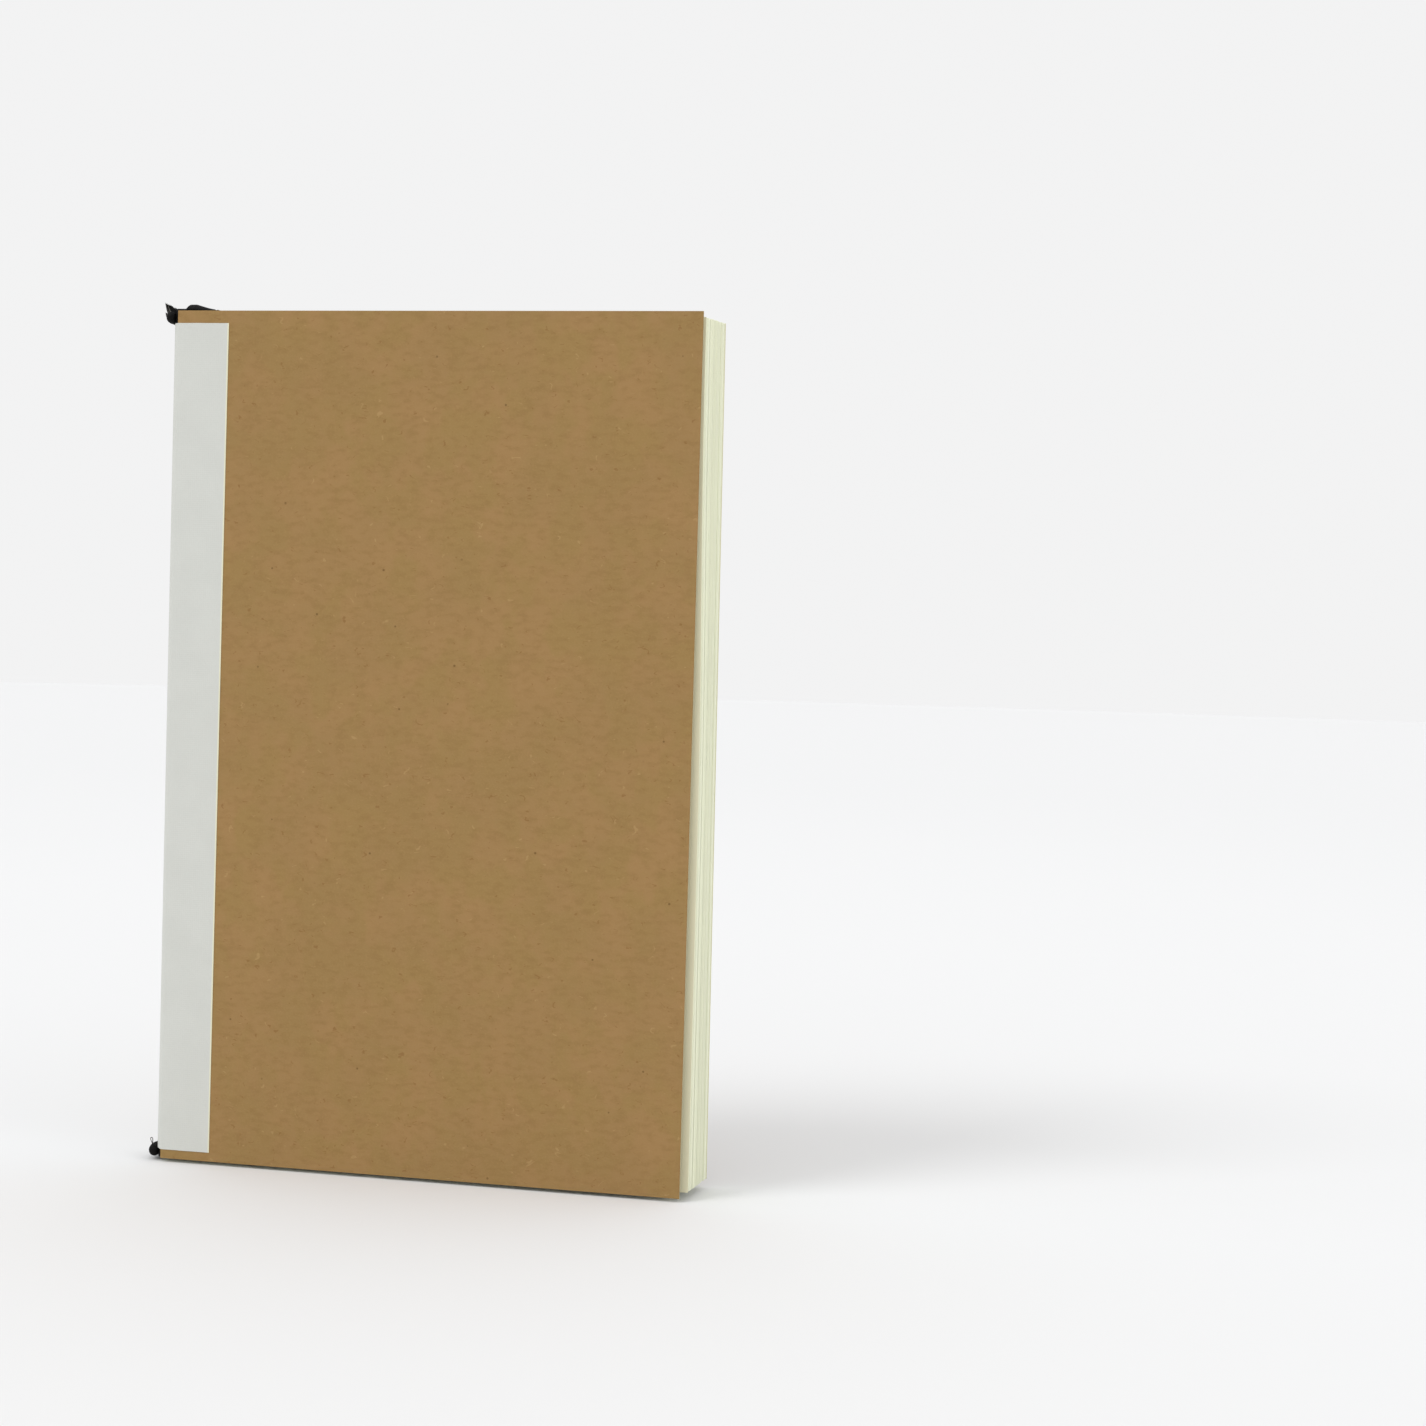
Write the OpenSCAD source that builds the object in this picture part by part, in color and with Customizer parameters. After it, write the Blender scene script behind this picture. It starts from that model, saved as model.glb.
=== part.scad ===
// Pocket notebook: kraft card covers, a white tape wrapped round the spine, ten sewn
// sections of cream paper, and black thread-wrapped bands at the head and the tail.
//
// Millimetres. The notebook stands closed on its tail: +Z runs from tail to head, +X from
// spine to fore-edge, and the front cover faces -Y. The origin is the middle of the bottom
// of its bounding box. Geometry is drawn with x = 0 at the spine edge of the covers and
// y = 0 at mid-thickness, for the rear half; the front half is its mirror image.
//
// The tape, lining, bands and threads are each one piece on the real notebook. They are cut
// where the spine bends, so that every rigid stretch of the spine is a solid of its own.

/* [Covers] */
// Height of the covers and leaves, tail to head
book_h = 140; // [110:1:200]
// Width of each cover, spine edge to fore-edge
cover_w = 89; // [60:1:140]
// Thickness over both covers, without the tape
book_t = 9.3; // [8:0.1:12]
// Thickness of the cover card
card_t = 0.35; // [0.3:0.01:0.5]

/* [Leaves] */
// Folded sheets in each section, each giving two leaves
sheets = 4; // [2:1:6]
// How far the leaves stand out past the covers at the fore-edge
leaf_overhang = 1.1; // [0:0.1:2]
// Share of the block's thickness that is air between the leaves
leaf_air = 0.12; // [0.05:0.01:0.3]
// Thickness of the endpapers
endpaper_t = 0.08; // [0.06:0.01:0.09]
// Space between the block and a cover, which holds a pastedown and a flyleaf
endpaper_space = 0.2; // [0.2:0.01:0.3]

/* [Spine] */
// How far the spine bulges out past the spine edge of the covers
spine_bulge = 1.95; // [1.6:0.05:2.2]
// Thickness of the tape
tape_t = 0.15; // [0.12:0.01:0.18]
// How deep the tape is pressed into the cover card
tape_bed = 0.05; // [0.02:0.01:0.1]
// Width of the tape on each cover
tape_flap = 8.7; // [5:0.1:15]
// Bare height between the tape and the head
tape_below_head = 2.05; // [2.05:0.05:5]
// Bare height between the tape and the tail
tape_above_tail = 1.5; // [1:0.05:1.9]
// Thickness of the cloth lining under the tape
lining_t = 0.12; // [0.08:0.01:0.15]
// Diameter of the sewing thread
thread_d = 0.28; // [0.2:0.01:0.3]
// Number of places along the spine where the thread crosses the folds
thread_stations = 5; // [3:1:9]

/* [Head and tail bands] */
// Diameter of the wrapped bead
bead_d = 1.9; // [1.5:0.1:2]
// How far the bead stands out past the tape
bead_out = 1.43; // [1:0.01:1.5]
// Height of the cloth flange that holds each band under the tape
flange_h = 10; // [5:0.5:15]
// How far the flange rises past the head of the block
flange_rise = 0.3; // [0.2:0.05:0.5]
// Width of the band's loose end, which lies on the head of the block
tongue_w = 3; // [1:0.1:3.5]
// Length of the raised part of the loose end
tongue_l = 5.1; // [3:0.1:8]
// Height of the loose end's arch
tongue_rise = 1.25; // [0.5:0.05:2]

/* [Hidden] */
$fn = 96;
clearance = 0.01;
// How far cutting shapes run past the surfaces they cut
past = 1;

half_t = book_t / 2;
page_reach = cover_w + leaf_overhang;
tape_top = book_h - tape_below_head;

// Across the thickness, from the outside in
tape_face = half_t + tape_t - tape_bed;
card_inside = half_t - card_t;
block_half = card_inside - endpaper_space;
pastedown_y = card_inside - endpaper_t;
pastedown_inset = 0.5;
flyleaf_y = block_half + clearance;

// Leaves
sections_per_half = 5;
section_t = block_half / sections_per_half;
leaf_pitch = section_t / (2 * sheets);
leaf_gap = leaf_pitch * leaf_air;

// The spine is an arc through the outer faces of the two tape flaps
spine_r = (pow(tape_face, 2) + pow(spine_bulge, 2)) / (2 * spine_bulge);
spine_x = spine_r - spine_bulge;
lining_r = spine_r - tape_t;
thread_space = thread_d + 2 * clearance;
fold_limit_r = lining_r - lining_t - thread_space;
thread_from = 1;
thread_to = 36;
lining_gap = 0.5;
spine_end = -0.02;

// Bands
bead_reach = spine_r + bead_out;
bead_mid_r = bead_reach - bead_d / 2;
bead_rest = 0.15;
bead_root_r = fold_limit_r + bead_rest;
bead_relief = 11;
bead_end_inset = 0.25;
bead_half_span = asin((tape_face - bead_end_inset) / bead_reach);
bead_lift = 0.03;
tape_seat_z = 0.05;
tape_seat_r = 0.04;
tongue_x = 0.5;
tongue_y = 0.3;
tongue_lift = 0.02;
tongue_tie_t = 0.25;

// Turning axes, all along Z
flyleaf_turn_x = 0.3;

// The bounding box runs from the outermost bead to the fore-edge of the leaves
box_left = spine_x - bead_reach * cos(bead_relief);
box_mid = (box_left + page_reach) / 2;

kraft = [0.63, 0.51, 0.34];
tape_white = [0.83, 0.84, 0.81];
cream = [0.87, 0.87, 0.79];
endpaper_cream = [0.89, 0.88, 0.81];
lining_white = [0.86, 0.85, 0.8];
thread_white = [0.9, 0.88, 0.82];
band_black = [0.07, 0.07, 0.08];

// ---- Placing ----

// Moves the drawing's origin to the middle of the box's bottom
module placed() translate([-box_mid, 0, 0]) children();

// Turns a band drawn at the tail over to the head
module head_down() translate([0, 0, book_h]) mirror([0, 0, 1]) children();

// The rear half as drawn, or the front half as its mirror image
module rear_side() placed() children();
module front_side() placed() mirror([0, 1, 0]) children();

// ---- Covers ----

module card_cover() color(kraft) difference() {
    translate([0, card_inside, 0]) cube([cover_w, card_t, book_h]);
    // bed of the tape
    translate([-past, half_t - tape_bed, tape_above_tail])
        cube([tape_flap + past, tape_bed + past, tape_top - tape_above_tail]);
}

module tape_on_cover() color(tape_white)
    translate([0, half_t - tape_bed, tape_above_tail])
        cube([tape_flap, tape_t, tape_top - tape_above_tail]);

module pastedown() color(endpaper_cream)
    translate([pastedown_inset, pastedown_y, 0])
        cube([cover_w - pastedown_inset, endpaper_t, book_h]);

module flyleaf() color(endpaper_cream)
    translate([flyleaf_turn_x, flyleaf_y, 0])
        cube([page_reach - flyleaf_turn_x, endpaper_t, book_h]);

// ---- Block ----

// Two leaves joined round a half circle at the spine, out to the given reach
module fold_outline(fold_x, half, reach) {
    translate([fold_x, 0]) circle(half);
    translate([fold_x, -half]) square([reach - fold_x, 2 * half]);
}

// Sections are numbered 1 to 10 from the front; their folds lie on the rounded spine
module section(number) {
    mid_y = (number - sections_per_half - 0.5) * section_t;
    fold_r = section_t / 2;
    fold_x = spine_x - sqrt(pow(fold_limit_r - fold_r, 2) - pow(mid_y, 2));
    color(cream) placed() translate([0, mid_y, 0])
        for (sheet = [0:sheets - 1])
            linear_extrude(book_h) difference() {
                fold_outline(fold_x, (sheet + 1) * leaf_pitch - leaf_gap / 2, page_reach);
                // the space inside the fold, open at the fore-edge
                fold_outline(fold_x, sheet * leaf_pitch + leaf_gap / 2, page_reach + past);
            }
}

// ---- Spine, rear half ----

// A layer of the rounded spine between two radii, from the middle opening to the cover
module spine_layer(inner_r, outer_r, bottom, top)
    translate([0, 0, bottom]) linear_extrude(top - bottom) intersection() {
        translate([spine_x, 0]) difference() {
            circle(outer_r);
            circle(inner_r);
        }
        translate([spine_end - spine_r, clearance]) square(spine_r);
    }

module spine_tape() color(tape_white)
    spine_layer(lining_r, spine_r, tape_above_tail, tape_top);

module spine_lining() color(lining_white)
    spine_layer(lining_r - lining_t, lining_r - clearance,
        flange_h + lining_gap, book_h - flange_h - lining_gap);

// An arc round the spine's centre, swept from a profile drawn with x as the radius
module spine_sweep(from_mid, to_cover)
    translate([spine_x, 0, 0]) rotate([0, 0, 180 - to_cover])
        rotate_extrude(angle = to_cover - from_mid) children();

module sewing_thread() color(thread_white)
    for (station = [1:thread_stations])
        translate([0, 0, station * book_h / (thread_stations + 1)])
            spine_sweep(thread_from, thread_to)
                translate([fold_limit_r + thread_space / 2, 0]) circle(d = thread_d);

// ---- Bands, rear half ----

// The bead is round outside and flat where it meets the folds. Its end at the middle
// opening is set back, so that the two halves close on each other as the spine bends.
module bead(mid_z) spine_sweep(bead_relief, bead_half_span) difference() {
    translate([bead_mid_r, mid_z]) circle(d = bead_d);
    translate([0, mid_z - bead_d]) square([bead_root_r, 2 * bead_d]);
    // seat of the tape's lower edge
    translate([0, tape_above_tail - tape_seat_z]) square([spine_r + tape_seat_r, bead_d]);
}

module flange(bottom, top) spine_layer(lining_r - lining_t, lining_r - clearance, bottom, top);

module tail_band() color(band_black) {
    bead(bead_d / 2 + bead_lift);
    flange(bead_lift, flange_h);
}

module head_band() color(band_black) {
    head_down() bead(bead_d / 2 + bead_lift);
    flange(book_h - flange_h, book_h + flange_rise);
}

// The head band's loose end: a strip that comes over the folds and arches on the head
module head_tongue() {
    arch_r = (pow(tongue_l / 2, 2) + pow(tongue_rise, 2)) / (2 * tongue_rise);
    color(band_black) intersection() {
        translate([0, tongue_y + tongue_w, book_h + tongue_lift]) rotate([90, 0, 0])
            linear_extrude(tongue_w) {
                translate([-spine_bulge, 0])
                    square([spine_bulge + tongue_x + past, tongue_tie_t]);
                intersection() {
                    translate([tongue_x + tongue_l / 2, tongue_rise - arch_r]) circle(arch_r);
                    translate([tongue_x, 0]) square([tongue_l, tongue_rise]);
                }
            }
        translate([spine_x, 0, 0]) cylinder(r = lining_r - clearance, h = book_h + 2 * tongue_rise);
    }
}

// ---- Sub-parts ----

module front_board() front_side() card_cover();
module front_tape_flap() front_side() tape_on_cover();
module front_pastedown() front_side() pastedown();
module front_flyleaf() front_side() flyleaf();
module back_board() rear_side() card_cover();
module back_tape_flap() rear_side() tape_on_cover();
module back_pastedown() rear_side() pastedown();
module back_flyleaf() rear_side() flyleaf();
module spine_tape_front() front_side() spine_tape();
module spine_tape_rear() rear_side() spine_tape();
module spine_lining_front() front_side() spine_lining();
module spine_lining_rear() rear_side() spine_lining();
module sewing_thread_front() front_side() sewing_thread();
module sewing_thread_rear() rear_side() sewing_thread();
module head_band_front() front_side() union() {
    head_band();
    head_tongue();
}
module head_band_rear() rear_side() head_band();
module tail_band_front() front_side() tail_band();
module tail_band_rear() rear_side() tail_band();

front_board();
front_tape_flap();
front_pastedown();
front_flyleaf();
section(1);  // section_01
section(2);  // section_02
section(3);  // section_03
section(4);  // section_04
section(5);  // section_05
section(6);  // section_06
section(7);  // section_07
section(8);  // section_08
section(9);  // section_09
section(10);  // section_10
back_board();
back_tape_flap();
back_pastedown();
back_flyleaf();
spine_tape_front();
spine_tape_rear();
spine_lining_front();
spine_lining_rear();
sewing_thread_front();
sewing_thread_rear();
head_band_front();
head_band_rear();
tail_band_front();
tail_band_rear();
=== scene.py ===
"""Looks of a pocket notebook: kraft card covers, a white spine tape, cream leaves and black bands.

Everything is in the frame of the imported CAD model, in metres: the notebook stands closed on its
tail, +Z runs to the head, +X to the fore-edge, and the front cover faces -Y.
"""

import math
import random

import bpy
from mathutils import Matrix, Vector, noise


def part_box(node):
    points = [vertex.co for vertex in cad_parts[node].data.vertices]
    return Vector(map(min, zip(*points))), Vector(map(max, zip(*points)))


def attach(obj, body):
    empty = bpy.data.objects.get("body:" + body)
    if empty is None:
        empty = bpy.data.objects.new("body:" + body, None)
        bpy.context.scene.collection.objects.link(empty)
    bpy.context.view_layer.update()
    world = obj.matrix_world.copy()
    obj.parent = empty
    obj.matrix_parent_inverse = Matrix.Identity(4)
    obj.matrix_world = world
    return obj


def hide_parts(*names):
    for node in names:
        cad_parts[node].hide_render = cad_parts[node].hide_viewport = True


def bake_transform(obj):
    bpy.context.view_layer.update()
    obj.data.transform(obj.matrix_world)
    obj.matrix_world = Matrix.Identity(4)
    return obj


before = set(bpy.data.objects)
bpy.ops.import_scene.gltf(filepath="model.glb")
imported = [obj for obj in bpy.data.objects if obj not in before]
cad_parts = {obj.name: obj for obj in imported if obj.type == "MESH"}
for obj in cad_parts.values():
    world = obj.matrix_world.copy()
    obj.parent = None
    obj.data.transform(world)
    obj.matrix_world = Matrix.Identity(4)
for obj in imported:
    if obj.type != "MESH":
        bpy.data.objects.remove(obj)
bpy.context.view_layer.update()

MM = 0.001
rng = random.Random(11)

# ---- Places, from the frame ----

card_low, card_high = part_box("front_board")
flap_low, flap_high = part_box("front_tape_flap")
spine_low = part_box("spine_tape_front")[0]
tail_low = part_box("tail_band_front")[0]
section_boxes = [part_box(f"section_{number:02d}") for number in range(1, 11)]

SPINE_EDGE = card_low.x
REACH = section_boxes[0][1].x
HEAD = card_high.z
FRONT = card_low.y
BACK = -FRONT
TAPE_FACE = -flap_low.y
TAPE_T = flap_high.y - flap_low.y
TAPE_TAIL = flap_low.z
TAPE_HEAD = flap_high.z
APEX = spine_low.x
BULGE = SPINE_EDGE - APEX

# The spine is an arc round (SPINE_X, 0) through the outer faces of both tape flaps
SPINE_R = (TAPE_FACE**2 + BULGE**2) / (2 * BULGE)
SPINE_X = APEX + SPINE_R

# What lies in front of this doesn't spread
FIRST_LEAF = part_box("front_flyleaf")[0].y

# Each section is folded sheets, two leaves to a sheet, with a little air between the leaves
SHEETS = 4
PAPER_SHARE = 0.88
SECTION_PITCH = section_boxes[1][0].y - section_boxes[0][0].y
LEAF_PITCH = SECTION_PITCH / (2 * SHEETS)
LEAF_T = PAPER_SHARE * LEAF_PITCH

# Free leaves spread a little: how far the back cover's fore-edge stands back, at head and tail
SPREAD_HEAD = 1.55 * MM
SPREAD_TAIL = 4.6 * MM
# The share of that by which the first leaf stands back from the front cover
FIRST_SHARE = 0.2
# How much shorter the leaves and the back cover are than the front cover, at each end of the
# fore-edge
LEAF_SHORT = 0.85 * MM
# How much nearer the spine the first leaf's fore-edge is than the last one's, near the head.
# It fades out over SKEW_FADE of the height and is gone SKEW_END of the height below the head.
HEAD_SKEW = 0.8 * MM
SKEW_END = 0.57
SKEW_FADE = 0.5


# ---- Meshes ----

class Build:
    """Vertices and faces of one piece, with a material number for each face."""

    def __init__(self):
        self.verts = []
        self.faces = []
        self.slots = []

    def add(self, points):
        first = len(self.verts)
        self.verts += [tuple(p) for p in points]
        return first

    def face(self, corners, slot=0):
        self.faces.append(tuple(corners))
        self.slots.append(slot)

    def grid(self, rows, slot=0, closed_rows=False, flip=False):
        """Quads over rows of points; closed_rows joins each row's last point to its first."""
        first = self.add(p for row in rows for p in row)
        wide = len(rows[0])
        for i in range(len(rows) - 1):
            for j in range(wide if closed_rows else wide - 1):
                k = (j + 1) % wide
                a, b = first + i * wide, first + (i + 1) * wide
                corners = (a + j, a + k, b + k, b + j)
                self.face(reversed(corners) if flip else corners, slot)
        return first

    def piece(self, name, materials, smooth=True):
        mesh = bpy.data.meshes.new(name)
        mesh.from_pydata(self.verts, [], self.faces)
        mesh.polygons.foreach_set("material_index", self.slots)
        mesh.validate()
        for material in materials:
            mesh.materials.append(material)
        obj = bpy.data.objects.new(name, mesh)
        bpy.context.scene.collection.objects.link(obj)
        if smooth:
            mesh.polygons.foreach_set("use_smooth", [True] * len(mesh.polygons))
            mesh.set_sharp_from_angle(angle=math.radians(40))
        return obj


def smoothstep(value):
    value = min(1.0, max(0.0, value))
    return value * value * (3 - 2 * value)


def fan_shares(count):
    """How the spread is shared out: leaves cling together in packets, with wider gaps between."""
    steps = [0.02 + rng.random()**4 for _ in range(count)]
    shares = [sum(steps[:k]) / sum(steps) for k in range(count)]
    return shares + [1.0]


LEAF_COUNT = 2 * SHEETS * len(section_boxes)
FAN = fan_shares(LEAF_COUNT)


def bend(x, z, depth):
    """How far along x, y and z the free leaves and the back cover are from where they'd lie flat.

    depth is the y of the layer's middle when it lies flat.
    """
    if depth < FIRST_LEAF:
        return 0.0, 0.0, 0.0
    out = max(0.0, (x - SPINE_EDGE) / (REACH - SPINE_EDGE))
    down = 1 - z / HEAD
    through = min(1.0, max(0.0, 0.5 + depth / (LEAF_COUNT * LEAF_PITCH)))
    share = FIRST_SHARE + (1 - FIRST_SHARE) * FAN[int(through * LEAF_COUNT)]
    skew = (1 - through) * smoothstep((SKEW_END - down) / SKEW_FADE) * HEAD_SKEW
    back = share * out**1.7 * (SPREAD_HEAD + (SPREAD_TAIL - SPREAD_HEAD) * down)
    return -skew * out**2, back, out**2 * LEAF_SHORT * (2 * down - 1)


def sheet(build, path, bottom, top, thickness, steps, slot_of=None, ragged=0.0, seed=0.0, widen=0.0):
    """A sheet of even thickness that follows a path seen from above and stands from bottom to top.

    Each path point is (x, y, normal x, normal y, depth), where depth is the y that bend() takes.
    slot_of(k) is the material number of the strip after path point k. ragged is how uneven the
    two cut ends are, and seed picks the pattern. widen is how much wider the sheet is at the
    head, in proportion to its reach from the spine.
    """
    def point(k, side, j):
        x, y, nx, ny, depth = path[k]
        share = j / steps
        z = bottom + (top - bottom) * share
        if ragged and j in (0, steps):
            # Uneven along the sheet, and not the same at its two ends
            z += ragged * noise.noise(Vector((x * 400, y * 900, seed + share * 7)))
        x += widen * share * max(0.0, x - SPINE_EDGE)
        inward, back, drop = bend(x, z, depth)
        half = thickness / 2 * side
        return x + nx * half + inward, y + ny * half + back, z + drop

    count = len(path)
    first = build.add(
        point(k, side, j) for side in (1, -1) for k in range(count) for j in range(steps + 1))
    slots = [slot_of(k) if slot_of else 0 for k in range(count - 1)]

    def index(side, k, j):
        return first + (0 if side > 0 else count * (steps + 1)) + k * (steps + 1) + j

    def quad(slot, *corners):
        build.face((index(*corner) for corner in corners), slot)

    for k, slot in enumerate(slots):
        for j in range(steps):
            quad(slot, (1, k, j), (1, k + 1, j), (1, k + 1, j + 1), (1, k, j + 1))
            quad(slot, (-1, k, j), (-1, k, j + 1), (-1, k + 1, j + 1), (-1, k + 1, j))
        quad(slot, (1, k, 0), (-1, k, 0), (-1, k + 1, 0), (1, k + 1, 0))
        quad(slot, (1, k, steps), (1, k + 1, steps), (-1, k + 1, steps), (-1, k, steps))
    last = count - 1
    for j in range(steps):
        quad(slots[0], (1, 0, j), (1, 0, j + 1), (-1, 0, j + 1), (-1, 0, j))
        quad(slots[-1], (1, last, j), (-1, last, j), (-1, last, j + 1), (1, last, j + 1))


def tube(build, points, radius_of, sides):
    """A closed tube along points; radius_of(share) is its radius from start (0) to end (1)."""
    count = len(points)
    rows = []
    side_dir = Vector((0.0, 1.0, 0.0))
    for k, point in enumerate(points):
        ahead = points[min(k + 1, count - 1)] - points[max(k - 1, 0)]
        ahead.normalize()
        side_dir = (side_dir - ahead * side_dir.dot(ahead)).normalized()
        other = ahead.cross(side_dir)
        radius = radius_of(k / (count - 1))
        rows.append([
            point + (side_dir * math.cos(a) + other * math.sin(a)) * radius
            for a in (2 * math.pi * s / sides for s in range(sides))
        ])
    first = build.grid(rows, closed_rows=True)
    build.face(range(first + sides - 1, first - 1, -1))
    build.face(range(first + (count - 1) * sides, first + count * sides))


# ---- Materials ----

class Shader:
    """A node material with a Principled shader, and short ways to add what it needs."""

    def __init__(self, name, roughness, specular=0.5):
        self.material = bpy.data.materials.new(name)
        self.material.use_nodes = True
        self.tree = self.material.node_tree
        self.bsdf = next(n for n in self.tree.nodes if n.type == "BSDF_PRINCIPLED")
        self.bsdf.inputs["Roughness"].default_value = roughness
        self.bsdf.inputs["Specular IOR Level"].default_value = specular
        self.coords = self.node("ShaderNodeTexCoord").outputs["Object"]

    def node(self, kind, **settings):
        made = self.tree.nodes.new(kind)
        for key, value in settings.items():
            setattr(made, key, value)
        return made

    def link(self, out, socket):
        self.tree.links.new(out, socket)

    def place(self, stretch=(1, 1, 1), shift=0.0):
        made = self.node("ShaderNodeMapping")
        made.inputs["Scale"].default_value = stretch
        made.inputs["Location"].default_value = (shift, shift, shift)
        self.link(self.coords, made.inputs["Vector"])
        return made.outputs[0]

    def noise(self, size, detail=3.0, stretch=(1, 1, 1), shift=0.0, distortion=0.0):
        """Noise whose features are about size metres across."""
        made = self.node("ShaderNodeTexNoise")
        made.inputs["Scale"].default_value = 1 / size
        made.inputs["Detail"].default_value = detail
        made.inputs["Distortion"].default_value = distortion
        self.link(self.place(stretch, shift), made.inputs["Vector"])
        return made.outputs["Fac"]

    def math(self, operation, a, b=None):
        made = self.node("ShaderNodeMath", operation=operation)
        for socket, value in zip(made.inputs, (a, b)):
            if value is None:
                continue
            if isinstance(value, (int, float)):
                socket.default_value = value
            else:
                self.link(value, socket)
        return made.outputs[0]

    def band(self, value, low, high, to_low=0.0, to_high=1.0):
        """value between low and high, stretched to to_low..to_high and clamped."""
        made = self.node("ShaderNodeMapRange", interpolation_type="SMOOTHSTEP")
        for key, number in (("From Min", low), ("From Max", high), ("To Min", to_low), ("To Max", to_high)):
            made.inputs[key].default_value = number
        self.link(value, made.inputs["Value"])
        return made.outputs[0]

    def mix(self, share, a, b):
        made = self.node("ShaderNodeMix", data_type="RGBA")
        self.link(share, made.inputs[0])
        for socket, value in ((made.inputs[6], a), (made.inputs[7], b)):
            if isinstance(value, tuple):
                socket.default_value = (*value, 1)
            else:
                self.link(value, socket)
        return made.outputs[2]

    def lines(self, size, width, stretch, shift, share):
        """Short curved hairs: the contour of a noise, broken up by a second one.

        A larger share keeps more of them.
        """
        wander = self.noise(size, 1.5, stretch, shift, 0.6)
        contour = self.math("ABSOLUTE", self.math("SUBTRACT", wander, 0.5))
        hair = self.band(contour, width, width * 0.3)
        broken = self.band(self.noise(size * 0.8, 2, (1, 1, 1), shift + 3.1), 1 - share, 1.04 - share)
        return self.math("MULTIPLY", hair, broken)

    def finish(self, colour, height=None, depth=0.02 * MM, strength=0.5):
        self.link(colour, self.bsdf.inputs["Base Color"])
        if height is not None:
            bump = self.node("ShaderNodeBump")
            bump.inputs["Strength"].default_value = strength
            bump.inputs["Distance"].default_value = depth
            self.link(height, bump.inputs["Height"])
            self.link(bump.outputs[0], self.bsdf.inputs["Normal"])
        return self.material


def tint(colour, factor):
    return tuple(min(1.0, c * factor) for c in colour)


def kraft_material(name, base):
    """Unbleached card: cloudy, with light and dark fibres and a few dark specks."""
    def shade(*factors):
        return tuple(c * k for c, k in zip(base, factors))

    s = Shader(name, 0.86, 0.3)
    hue = s.noise(4.5 * MM, 5, (1, 1, 0.8), 8.8, 0.3)
    colour = s.mix(s.band(hue, 0.38, 0.62), shade(1.05, 1.0, 1.03), shade(0.975, 0.985, 0.91))
    clouds = s.noise(11 * MM, 3)
    colour = s.mix(s.band(clouds, 0.35, 0.65, 0, 0.5), colour, shade(0.93, 0.925, 0.92))
    streaks = s.noise(0.9 * MM, 5, (0.5, 1, 1), 1.7)
    colour = s.mix(s.band(streaks, 0.42, 0.75, 0, 0.55), colour, shade(0.84, 0.8, 0.78))
    grain = s.noise(0.3 * MM, 2, (0.8, 1, 1), 5.3)
    colour = s.mix(s.band(grain, 0.45, 0.8, 0, 0.35), colour, tint(base, 1.15))
    pale = s.lines(2.4 * MM, 0.022, (0.6, 1, 1.2), 2.3, 0.37)
    colour = s.mix(s.math("MULTIPLY", pale, 0.45), colour, shade(1.4, 1.45, 1.65))
    dark = s.lines(1.6 * MM, 0.02, (0.5, 1, 1.2), 7.9, 0.405)
    colour = s.mix(s.math("MULTIPLY", dark, 0.6), colour, shade(0.74, 0.58, 0.48))
    cells = s.node("ShaderNodeTexVoronoi")
    cells.inputs["Scale"].default_value = 1 / (3.4 * MM)
    s.link(s.place(), cells.inputs["Vector"])
    chosen = s.band(s.noise(9 * MM, 1, (1, 1, 1), 4.4), 0.56, 0.6)
    speck = s.math("MULTIPLY", s.band(cells.outputs["Distance"], 0.07, 0.04), chosen)
    colour = s.mix(s.math("MULTIPLY", speck, 0.7), colour, shade(0.42, 0.34, 0.3))
    height = s.math("ADD", s.math("MULTIPLY", grain, 0.6), s.math("MULTIPLY", streaks, 0.6))
    height = s.math("ADD", height, s.math("MULTIPLY", pale, 0.25))
    s.link(s.band(streaks, 0.3, 0.7, 0.8, 0.92), s.bsdf.inputs["Roughness"])
    return s.finish(colour, height, 0.05 * MM, 0.6)


def paper_material(name, base):
    """Smooth uncoated paper with faint clouds and a fine tooth."""
    s = Shader(name, 0.82, 0.3)
    clouds = s.noise(5 * MM, 3, (1, 1, 0.5))
    tooth = s.noise(0.18 * MM, 2)
    colour = s.mix(s.band(clouds, 0.3, 0.7), tint(base, 0.988), tint(base, 1.008))
    colour = s.mix(s.band(tooth, 0.5, 0.8, 0, 0.4), colour, tint(base, 0.93))
    s.link(s.band(clouds, 0.3, 0.7, 0.78, 0.86), s.bsdf.inputs["Roughness"])
    return s.finish(colour, tooth, 0.02 * MM, 0.35)


def cloth_material(name, base, pitch, contrast, depth):
    """Fine plain weave: threads along Z and threads round the spine."""
    s = Shader(name, 0.8, 0.35)
    apart = s.node("ShaderNodeSeparateXYZ")
    s.link(s.coords, apart.inputs[0])
    round_spine = s.math("ADD", apart.outputs["X"], apart.outputs["Y"])
    turn = 2 * math.pi / pitch
    wobble = s.math("MULTIPLY", s.noise(1.5 * MM, 2), 1.6)
    weft = s.math("SINE", s.math("ADD", s.math("MULTIPLY", round_spine, turn), wobble))
    warp = s.math("SINE", s.math("ADD", s.math("MULTIPLY", apart.outputs["Z"], turn), wobble))
    weave = s.math("MULTIPLY", s.math("ADD", weft, warp), 0.25)
    fluff = s.noise(0.35 * MM, 3, (1, 1, 1), 2.2)
    clouds = s.noise(6 * MM, 2, (1, 1, 1), 6.1)
    colour = s.mix(s.band(clouds, 0.3, 0.7), tint(base, 0.985), tint(base, 1.01))
    colour = s.mix(s.band(fluff, 0.35, 0.75, 0, contrast), colour, tint(base, 0.8))
    height = s.math("ADD", weave, s.math("MULTIPLY", fluff, 0.7))
    s.link(s.band(fluff, 0.3, 0.7, 0.74, 0.88), s.bsdf.inputs["Roughness"])
    return s.finish(colour, height, depth, 0.5)


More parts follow.
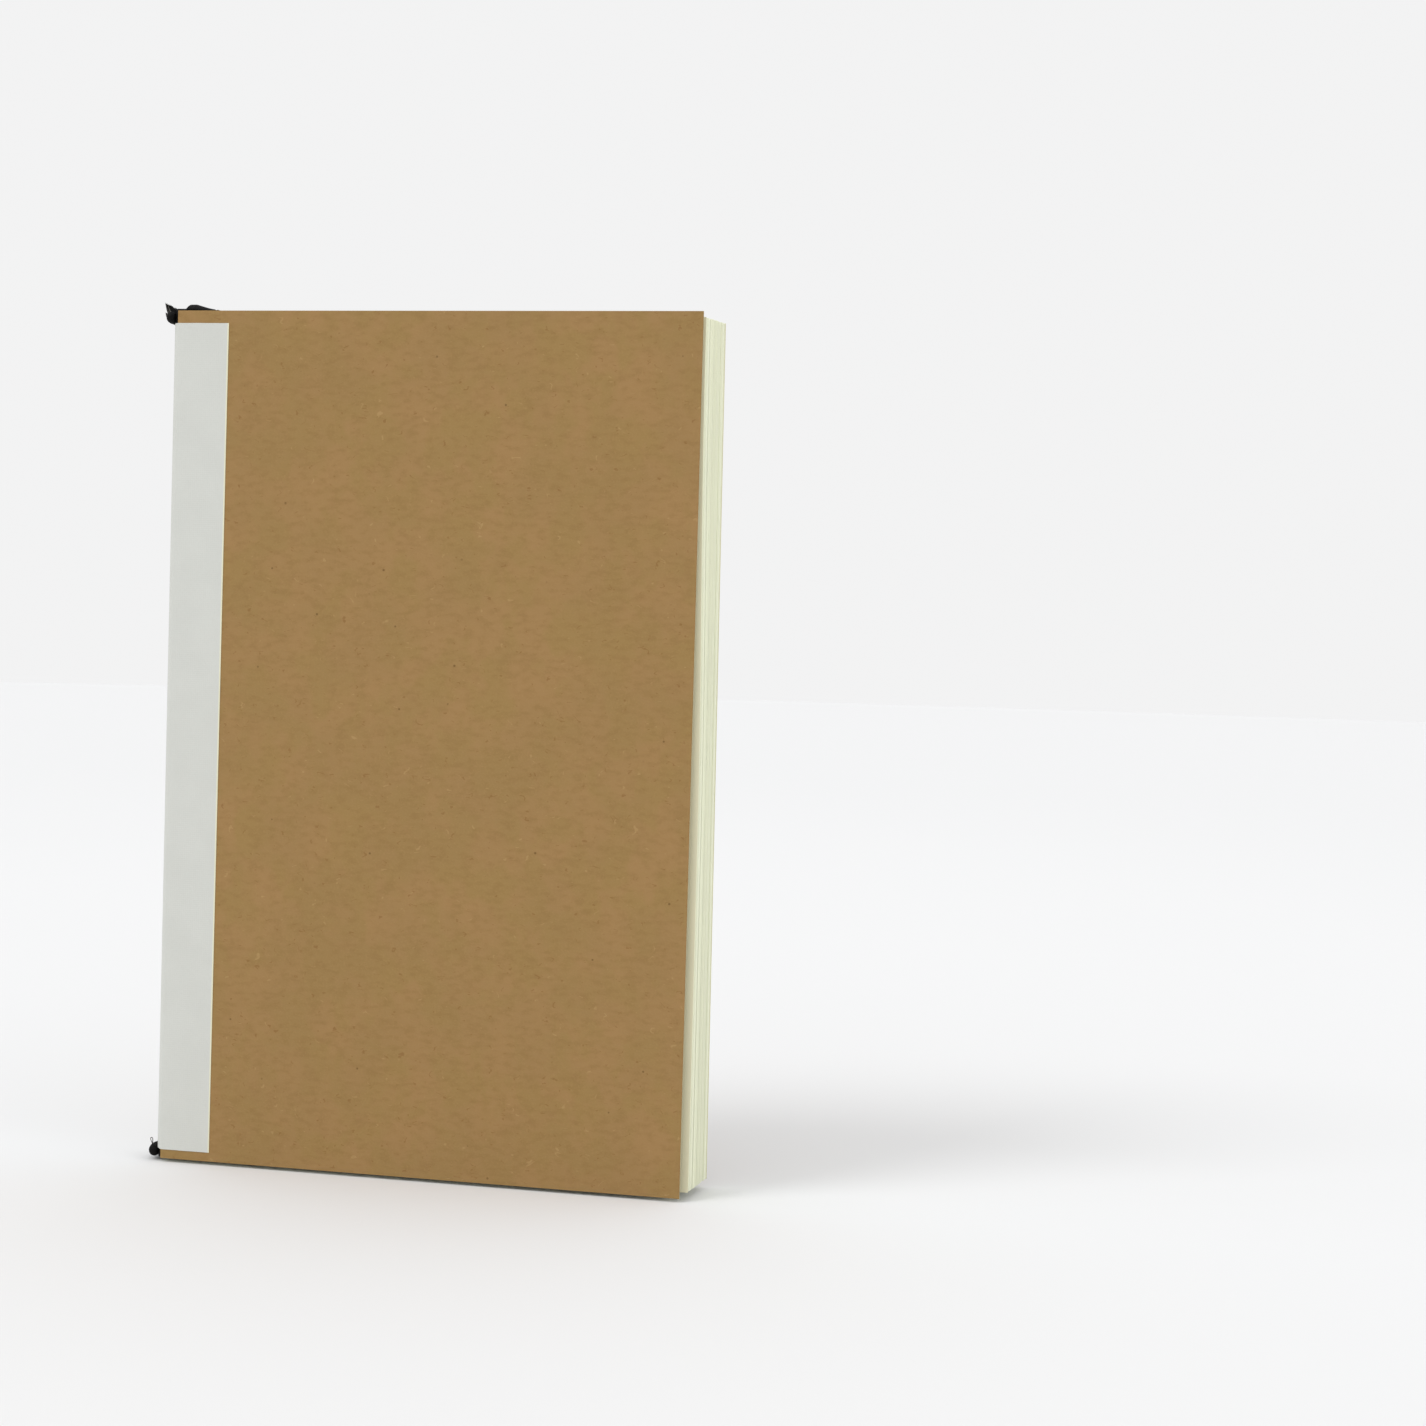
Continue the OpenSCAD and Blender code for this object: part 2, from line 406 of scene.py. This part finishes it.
def thread_material(name, base, roughness, contrast):
    """Twisted thread: fine streaks and a little dust."""
    s = Shader(name, roughness, 0.1)
    strands = s.noise(0.12 * MM, 2, (1, 1, 0.4))
    dust = s.noise(0.7 * MM, 2, (1, 1, 1), 3.3)
    colour = s.mix(s.band(strands, 0.35, 0.75), tint(base, 1 - contrast), tint(base, 1 + contrast))
    colour = s.mix(s.band(dust, 0.55, 0.8, 0, 0.35), colour, tint(base, 1 + 2 * contrast))
    return s.finish(colour, strands, 0.03 * MM, 0.6)


# Colours are linear
kraft = kraft_material("kraft_card", (0.307, 0.19, 0.0703))
paper = paper_material("leaf_paper", (0.855, 0.868, 0.684))
# Endpaper: a buff stock, darkened further as painted shade on the first leaf's strip beside the front
# cover's edge
endpaper = paper_material("endpaper", (0.7, 0.665, 0.475))
tape_cloth = cloth_material("tape_cloth", (0.593, 0.602, 0.564), 0.34 * MM, 0.1, 0.02 * MM)
tape_cut = paper_material("tape_cut_edge", (0.74, 0.725, 0.54))
lining_cloth = cloth_material("lining_cloth", (0.7, 0.68, 0.6), 0.5 * MM, 0.3, 0.04 * MM)
sewing = thread_material("sewing_thread", (0.78, 0.75, 0.65), 0.6, 0.1)
band_black = thread_material("band_thread", (0.0045, 0.004, 0.004), 0.55, 0.45)
# Grey thread: a painted highlight, standing for the light that thin black thread catches
band_painted_highlight = thread_material("band_thread_painted_highlight", (0.09, 0.085, 0.075), 0.7, 0.4)


# ---- Covers and endpapers ----

# How much the card's cut edges are rounded
CARD_SOFT = 0.05 * MM


def flat_path(x_from, x_to, y, count):
    """A straight path from x_from to x_to whose sheet lies at y and faces -Y."""
    return [(x_from + (x_to - x_from) * k / count, y, 0.0, -1.0, y) for k in range(count + 1)]


def flat_sheet(name, node, material, body, soften=0.0):
    """A card or leaf that fills a flat CAD node and spreads with the leaves."""
    steps_across, steps_up = 36, 48
    low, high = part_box(node)
    build = Build()
    path = flat_path(low.x, high.x, (low.y + high.y) / 2, steps_across)
    sheet(build, path, low.z, high.z, high.y - low.y, steps_up)
    obj = build.piece(name, [material])
    if soften:
        bevel = obj.modifiers.new("soft_edges", "BEVEL")
        bevel.width = soften
        bevel.segments = 2
        bevel.limit_method = "ANGLE"
    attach(obj, body)
    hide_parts(node)


for side in ("front", "back"):
    flat_sheet(f"{side}_card", f"{side}_board", kraft, f"{side}_cover", CARD_SOFT)
    flat_sheet(f"{side}_lining_paper", f"{side}_pastedown", endpaper, f"{side}_cover")
    flat_sheet(f"{side}_loose_endpaper", f"{side}_flyleaf", endpaper, f"{side}_flyleaf")


# ---- Sections ----

# How much the leaves differ at the fore-edge within a section, the sections from each other,
# and the leaves at the head and the tail
LEAF_UNEVEN = 0.08 * MM
SECTION_UNEVEN = 0.14 * MM
END_UNEVEN = 0.05 * MM
LEAF_RAGGED = 0.03 * MM


def folded_sheet(build, fold_x, mid_y, offset, number, section_inset):
    """One folded sheet: two leaves joined round a half circle at the spine."""
    leaf_steps, fold_steps, steps_up = 12, 8, 14
    reaches = [REACH - section_inset - rng.uniform(0, LEAF_UNEVEN) for _ in range(2)]
    path = []
    for k in range(leaf_steps):
        x = reaches[0] + (fold_x - reaches[0]) * k / leaf_steps
        path.append((x, mid_y - offset, 0.0, -1.0, mid_y - offset))
    for k in range(fold_steps + 1):
        a = math.pi * k / fold_steps
        out_x, out_y = -math.sin(a), -math.cos(a)
        path.append((fold_x + offset * out_x, mid_y + offset * out_y, out_x, out_y, mid_y))
    for k in range(1, leaf_steps + 1):
        x = fold_x + (reaches[1] - fold_x) * k / leaf_steps
        path.append((x, mid_y + offset, 0.0, 1.0, mid_y + offset))
    inset = rng.uniform(0, END_UNEVEN)
    sheet(build, path, inset, HEAD - inset, LEAF_T, steps_up, ragged=LEAF_RAGGED, seed=number * 1.7)


for number, (low, high) in enumerate(section_boxes, 1):
    mid_y = (low.y + high.y) / 2
    fold_x = low.x + (high.y - low.y) / 2
    build = Build()
    section_inset = rng.uniform(0, SECTION_UNEVEN)
    for leaf in range(SHEETS):
        folded_sheet(build, fold_x, mid_y, (leaf + 0.5) * LEAF_PITCH, number * SHEETS + leaf, section_inset)
    leaves = build.piece(f"leaves_{number:02d}", [paper])
    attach(leaves, "front_block" if number <= 5 else "rear_block")
    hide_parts(f"section_{number:02d}")


# ---- Spine tape ----

def spine_point(angle, radius):
    """A point on the rounded spine. Angle 0 is the middle, and positive angles go to the back."""
    return SPINE_X - radius * math.cos(angle), radius * math.sin(angle)


HALF_SPAN = math.asin(TAPE_FACE / SPINE_R)
# Half the angle of the middle piece of the tape
JOIN = math.radians(21)
# The tape rounds a cover's spine edge: its flat part ends FILLET before the edge, and the curve's
# middle control point is CORNER_IN before it
FILLET = 0.4 * MM
CORNER_IN = 0.03 * MM
# The tape's cut edge on a cover shows as a pale line
CUT_LINE = 0.2 * MM
TAPE_WIDEN = 0.04
TAPE_RAGGED = 0.05 * MM


def tape_arc(from_angle, to_angle, count):
    """The path of the tape on the rounded spine, between two angles."""
    path = []
    for k in range(count + 1):
        a = from_angle + (to_angle - from_angle) * k / count
        x, y = spine_point(a, SPINE_R - TAPE_T / 2)
        path.append((x, y, -math.cos(a), math.sin(a), 0.0))
    return path


def tape_side(side):
    """The path of the tape from its edge on a cover, round the spine edge, to its middle piece."""
    y = side * (TAPE_FACE - TAPE_T / 2)
    depth = side * (BACK - TAPE_T / 2)
    flat_steps, corner_steps, arc_steps = 12, 9, 14
    line_x = flap_high.x - CUT_LINE
    flat_xs = [flap_high.x]
    flat_xs += [line_x - (line_x - SPINE_EDGE - FILLET) * k / flat_steps for k in range(flat_steps + 1)]
    path = [(x, y, 0.0, float(side), depth) for x in flat_xs]
    # Round the corner from the flap's end to a point a little way up the arc
    end_angle = side * (HALF_SPAN - FILLET / SPINE_R)
    start = Vector((SPINE_EDGE + FILLET, y))
    corner = Vector((SPINE_EDGE + CORNER_IN, y))
    end = Vector(spine_point(end_angle, SPINE_R - TAPE_T / 2))
    for k in range(1, corner_steps):
        t = k / corner_steps
        at = start * (1 - t) ** 2 + corner * 2 * t * (1 - t) + end * t * t
        ahead = (corner - start) * (1 - t) + (end - corner) * t
        out = Vector((ahead.y, -ahead.x)) * side
        out.normalize()
        path.append((at.x, at.y, out.x, out.y, 0.0))
    path += tape_arc(end_angle, side * JOIN, arc_steps)
    return path


def tape_piece(name, path, slot_of, nodes):
    """A stretch of the tape along a path."""
    steps_up = 60
    build = Build()
    sheet(build, path, TAPE_TAIL, TAPE_HEAD, TAPE_T, steps_up, slot_of, TAPE_RAGGED, 2.0, TAPE_WIDEN)
    obj = build.piece(name, [tape_cloth, tape_cut])
    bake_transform(obj)
    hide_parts(*nodes)


def cut_slot(k):
    """The strip next to the tape's cut edge is paler than the rest."""
    return 1 if k == 0 else 0


for side, cover, block, nodes in (
    (-1, "front_cover", "front_block", ("front_tape_flap", "spine_tape_front")),
    (1, "back_cover", "rear_block", ("back_tape_flap", "spine_tape_rear")),
):
    tape_piece(
        f"tape_{cover}", tape_side(side), cut_slot, nodes,
    )
tape_piece(
    "tape_middle", tape_arc(-JOIN, JOIN, 24), None, ("spine_tape_front", "spine_tape_rear"),
)


# ---- Bands ----

BEAD_R = 0.95 * MM
BEAD_OUT = 1.43 * MM
BEAD_REACH = SPINE_R + BEAD_OUT
BEAD_MID_R = BEAD_REACH - BEAD_R
BEAD_ROOT_R = SPINE_R - 0.4 * MM
BEAD_SPAN = math.asin(-tail_low.y / BEAD_REACH)
TAIL_BEAD_Z = 0.97 * MM
HEAD_BEAD_Z = HEAD - 0.98 * MM
# Turns of thread on a bead, and the length over which its ends are domed
WRAPS = 28
BEAD_DOME = 0.8 * MM

# The flanges are under the tape and reach FLANGE_H in from the tail and the head. The lower one
# starts TAIL_REST above the tail, and the upper one ends FLANGE_RISE above the head.
FLANGE_T = 0.11 * MM
FLANGE_R = SPINE_R - TAPE_T - 0.06 * MM
FLANGE_H = 9.9 * MM
TAIL_REST = 0.05 * MM
FLANGE_RISE = 0.26 * MM
# Half the angle of a flange, a little less than the tape's
FLANGE_SPAN = HALF_SPAN - 0.09
# How clear of the tape the tail bead stays
TAPE_CLEAR = 0.03 * MM


def wrapped_bead(build, mid_z, keep_clear):
    """A cord wound with thread, which follows the spine.

    keep_clear(radius, z) returns the radius to use, measured from the spine's centre.
    """
    rings, around = WRAPS * 8, 22
    length = 2 * BEAD_SPAN * BEAD_MID_R
    swell = [rng.uniform(0.94, 1.02) for _ in range(WRAPS + 2)]
    rows = []
    for k in range(rings + 1):
        share = k / rings
        a = BEAD_SPAN * (2 * share - 1)
        from_end = min(share, 1 - share) * length
        dome = math.sqrt(max(0.02, 1 - (1 - min(1.0, from_end / BEAD_DOME)) ** 2))
        row = []
        for s in range(around):
            phi = 2 * math.pi * s / around
            phase = share * WRAPS + s / around
            ridge = abs(math.sin(math.pi * phase)) ** 0.6
            radius = BEAD_R * dome * swell[int(phase)] * (0.86 + 0.14 * ridge)
            out = BEAD_MID_R + radius * math.cos(phi)
            z = mid_z + radius * math.sin(phi)
            x, y = spine_point(a, keep_clear(out, z))
            row.append((x, y, z))
        rows.append(row)
    first = build.grid(rows, closed_rows=True, flip=True)
    build.face(range(first, first + around))
    build.face(range(first + (rings + 1) * around - 1, first + rings * around - 1, -1))


def flange(build, bottom, top):
    """The band's cloth, glued on the folds under the tape."""
    half_steps, steps_up = 12, 10
    path = []
    for k in range(2 * half_steps + 1):
        a = FLANGE_SPAN * (k / half_steps - 1)
        x, y = spine_point(a, FLANGE_R)
        path.append((x, y, -math.cos(a), math.sin(a), 0.0))
    sheet(build, path, bottom, top, FLANGE_T, steps_up, ragged=0.08 * MM, seed=5.0)


def band(name, nodes, mid_z, keep_clear, bottom, top):
    """A bead at mid_z and its flange from bottom to top, as one piece."""
    build = Build()
    wrapped_bead(build, mid_z, keep_clear)
    flange(build, bottom, top)
    obj = build.piece(name, [band_black])
    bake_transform(obj)
    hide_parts(*nodes)


def over_folds(radius, z):
    """The head bead is flat where it meets the folds."""
    return max(radius, BEAD_ROOT_R)


def over_tape_edge(radius, z):
    """The tail bead also stays outside the tape's lower edge."""
    low = SPINE_R + TAPE_CLEAR if z > TAPE_TAIL - TAPE_RAGGED - TAPE_CLEAR else BEAD_ROOT_R
    return max(radius, low)


band(
    "tail_bead", ("tail_band_front", "tail_band_rear"), TAIL_BEAD_Z, over_tape_edge,
    TAIL_REST, FLANGE_H,
)
band(
    "head_bead", ("head_band_front", "head_band_rear"), HEAD_BEAD_Z, over_folds,
    HEAD - FLANGE_H, HEAD + FLANGE_RISE,
)


def jitter(size):
    """A random step of up to size along each axis."""
    return Vector((rng.uniform(-1, 1), rng.uniform(-1, 1), rng.uniform(-1, 1))) * size


def strand(build, start, tip, lift, radius):
    """A loose thread from start to tip, bowed by lift and thinning to its end."""
    count, sides = 9, 6
    points = []
    bow = jitter(0.09 * MM)
    for k in range(count):
        t = k / (count - 1)
        at = start.lerp(tip, t) + lift * (4 * t * (1 - t)) + bow * math.sin(math.pi * t)
        points.append(at + jitter(0.012 * MM))
    tube(build, points, lambda share: radius * (1 - 0.75 * share**2), sides)


def tuft():
    """The frayed front end of the head band: two brushes of thread ends that point out and up."""
    build = Build()
    grey = Build()
    base = Vector((SPINE_EDGE, 0, HEAD))
    # For each brush, in mm from base: roots lie between the first two points, tips between the
    # next two, and the last number is how many threads it has
    brushes = (
        ((-2.3, -2.3, -1.1), (-1.0, -2.5, -0.3), (-3.62, -1.9, 1.5), (-1.5, -2.2, 0.66), 110),
        ((-2.6, -2.1, -1.5), (-2.2, -2.3, -0.7), (-3.5, -1.9, -0.05), (-3.25, -1.9, -0.5), 46),
    )
    for root_a, root_b, tip_a, tip_b, count in brushes:
        for _ in range(count):
            across = rng.random()
            root = Vector(root_a).lerp(Vector(root_b), across) + jitter(0.3)
            tip = Vector(tip_a).lerp(Vector(tip_b), across**1.2)
            tip = root.lerp(tip, rng.uniform(0.86, 1.02)) + jitter(0.09)
            # Some of the outer threads are grey: a painted highlight on thin thread
            into = grey if across < 0.35 and rng.random() < 0.4 else build
            lift = Vector((-0.03, 0, 0.03)) * MM
            strand(into, base + root * MM, base + tip * MM, lift, rng.uniform(0.07, 0.1) * MM)
    for name, made, material in (("head_tuft", build, band_black), ("head_tuft_ends", grey, band_painted_highlight)):
        obj = made.piece(name, [material])
        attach(obj, "front_block")


def loose_end():
    """The head band's loose end: a ribbed ribbon that comes over the folds and arches on the head."""
    build = Build()
    near, far = -3.3 * MM, -0.35 * MM
    end_x = 5.55 * MM
    long_steps, ribs, per_rib = 52, 9, 6
    ribbon_t = 0.2 * MM
    rib_rise = 0.05 * MM
    loose_threads = 14

    def centre(t, v):
        """The middle of the ribbon at t along it and v across it, both from 0 to 1."""
        y = near + (far - near) * v
        root_x = SPINE_X - math.sqrt(FLANGE_R**2 - y**2) - SPINE_EDGE + 0.05 * MM
        x = root_x + (end_x - root_x) * t
        along = x / MM
        crown = (4 * v * (1 - v) + 0.02) ** 0.4
        # In mm: it climbs over the folds, arches up over the leaves, sinks evenly and dips at its end
        rise = 0.34 * smoothstep((along + 1.6) / 0.8) + 0.64 * smoothstep((along - 0.62) / 0.48)
        rise -= 0.64 * min(1.0, max(0.0, (along - 2.2) / 2.6))
        rise -= 0.3 * smoothstep((along - 4.9) / 0.7)
        rise *= 1 + 0.05 * math.sin(y / MM * 3.1 + along)
        return Vector((SPINE_EDGE + x, y, HEAD + 0.1 * MM + rise * crown * MM))

    rows = {1: [], -1: []}
    wide = ribs * per_rib + 1
    for k in range(long_steps + 1):
        t = k / long_steps
        for side in (1, -1):
            row = []
            for j in range(wide):
                v = j / (wide - 1)
                ridge = rib_rise * abs(math.sin(math.pi * ribs * v)) ** 0.6
                edge = math.sqrt(max(0.05, 1 - (2 * v - 1) ** 8))
                ahead = centre(min(1.0, t + 0.01), v) - centre(max(0.0, t - 0.01), v)
                across = centre(t, min(1.0, v + 0.02)) - centre(t, max(0.0, v - 0.02))
                normal = ahead.cross(across).normalized()
                row.append(centre(t, v) + normal * side * (ribbon_t / 2 + ridge - 0.03 * MM) * edge)
            rows[side].append(row)
    top = build.grid(rows[1], flip=True)
    under = build.grid(rows[-1])
    for k in range(long_steps):
        a, b = k * wide, (k + 1) * wide
        build.face((top + a, top + b, under + b, under + a))
        build.face((top + a + wide - 1, under + a + wide - 1, under + b + wide - 1, top + b + wide - 1))
    for j in range(wide - 1):
        build.face((top + j, under + j, under + j + 1, top + j + 1))
        last = long_steps * wide
        build.face((top + last + j, top + last + j + 1, under + last + j + 1, under + last + j))
    # A few thread ends stick out of the cut end
    for _ in range(loose_threads):
        start = centre(0.97, rng.uniform(0.06, 0.94))
        reach = Vector((rng.uniform(0.25, 0.75), rng.uniform(-0.15, 0.15), rng.uniform(-0.04, 0.12)))
        strand(build, start, start + reach * MM, Vector((0, 0, 0.03)) * MM, 0.06 * MM)
    obj = build.piece("head_band_loose_end", [band_black])
    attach(obj, "front_block")
    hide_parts("head_band_front")


def thread_loop():
    """A little loop of thread that stands up from the tail bead."""
    build = Build()
    root = Vector((SPINE_EDGE - 2.35 * MM, -2.6 * MM, 1.7 * MM))
    loop_half, loop_h, thread_r = 0.2 * MM, 1.18 * MM, 0.062 * MM
    count, sides = 29, 8
    points = []
    for k in range(count):
        t = k / (count - 1)
        a = math.pi * (2 * t - 1)
        wide = loop_half * math.sin(a) * (0.4 + 0.6 * math.cos(a / 2))
        high = loop_h * math.cos(a / 2) ** 0.9
        points.append(root + Vector((wide - high * 0.2, 0.25 * wide, high)))
    tube(build, points, lambda share: thread_r * (1 + 0.1 * math.sin(share * 60)), sides)
    # Grey: a painted highlight on the thin thread
    obj = build.piece("tail_thread_loop", [band_painted_highlight])
    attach(obj, "front_block")


tuft()
loose_end()
thread_loop()

# ---- CAD nodes that stay, with better materials ----

for side in ("front", "rear"):
    for node, material in ((f"spine_lining_{side}", lining_cloth), (f"sewing_thread_{side}", sewing)):
        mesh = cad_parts[node].data
        mesh.materials.clear()
        mesh.materials.append(material)


# ---- Floor, light and camera ----

FLOOR_DROP = 0.6 * MM
FLOOR_R = 2.7


def floor():
    """A pale disc a little below the tail, which leaves a dark line under the notebook."""
    s = Shader("studio_floor", 0.9, 0.2)
    clouds = s.noise(0.4, 2)
    colour = s.mix(s.band(clouds, 0.3, 0.7), (0.796, 0.799, 0.802), (0.802, 0.805, 0.808))
    # Painted shade: the floor darkens away from the middle, so the far floor is no brighter than the sky
    away = s.node("ShaderNodeVectorMath", operation="LENGTH")
    s.link(s.coords, away.inputs[0])
    colour = s.mix(s.band(away.outputs["Value"], 0.3, 1.2), colour, (0.777, 0.78, 0.783))
    build = Build()
    count = 96
    turns = [2 * math.pi * k / count for k in range(count)]
    build.add((FLOOR_R * math.cos(a), FLOOR_R * math.sin(a), -FLOOR_DROP) for a in turns)
    build.face(range(count))
    obj = build.piece("studio_floor", [s.finish(colour)], smooth=False)


def sky():
    """Even pale light from all round, a little stronger from above."""
    world = bpy.data.worlds.new("studio")
    bpy.context.scene.world = world
    world.use_nodes = True
    tree = world.node_tree
    background = tree.nodes["Background"]
    coords = tree.nodes.new("ShaderNodeTexCoord")
    apart = tree.nodes.new("ShaderNodeSeparateXYZ")
    ramp = tree.nodes.new("ShaderNodeValToRGB")
    tree.links.new(coords.outputs["Generated"], apart.inputs[0])
    tree.links.new(apart.outputs["Z"], ramp.inputs[0])
    tree.links.new(ramp.outputs[0], background.inputs["Color"])
    low, high = ramp.color_ramp.elements
    low.position = 0.25
    low.color = (0.894, 0.894, 0.896, 1)
    high.position = 1.0
    high.color = (0.93, 0.93, 0.935, 1)
    background.inputs["Strength"].default_value = 1.0


def towards(azimuth, elevation):
    """The way to a viewer or a light, from angles in radians. Azimuth 0 faces the front cover."""
    level = math.cos(elevation)
    return Vector((math.sin(azimuth) * level, -math.cos(azimuth) * level, math.sin(elevation)))


def soft_sun(name, azimuth, elevation, strength, angle):
    """A wide soft light from a direction given as a view's azimuth and elevation, in degrees."""
    data = bpy.data.lights.new(name, "SUN")
    data.energy = strength
    data.angle = math.radians(angle)
    obj = bpy.data.objects.new(name, data)
    way = towards(math.radians(azimuth), math.radians(elevation))
    obj.rotation_mode = "QUATERNION"
    obj.rotation_quaternion = way.to_track_quat("Z", "Y")
    bpy.context.scene.collection.objects.link(obj)


def camera():
    """The photograph's view: from a little to the fore-edge side, slightly rolled."""
    data = bpy.data.cameras.new("camera")
    data.sensor_width = 36
    data.lens = 71.34
    data.clip_end = 100
    obj = bpy.data.objects.new("camera", data)
    bpy.context.scene.collection.objects.link(obj)
    azimuth, elevation, roll = (math.radians(a) for a in (14.01, 1.97, -1.60))
    back = towards(azimuth, elevation)
    obj.location = Vector((156.26, -434.87, 92.38)) * MM
    obj.rotation_mode = "QUATERNION"
    turn = (-back).to_track_quat("-Z", "Y").to_matrix()
    obj.rotation_quaternion = (turn @ Matrix.Rotation(-roll, 3, "Z")).to_quaternion()
    bpy.context.scene.camera = obj


floor()
sky()
soft_sun("key", azimuth=-40, elevation=46, strength=0.9, angle=25)
soft_sun("fill", azimuth=80, elevation=15, strength=0.55, angle=60)
camera()
bpy.context.scene.view_settings.view_transform = "Standard"
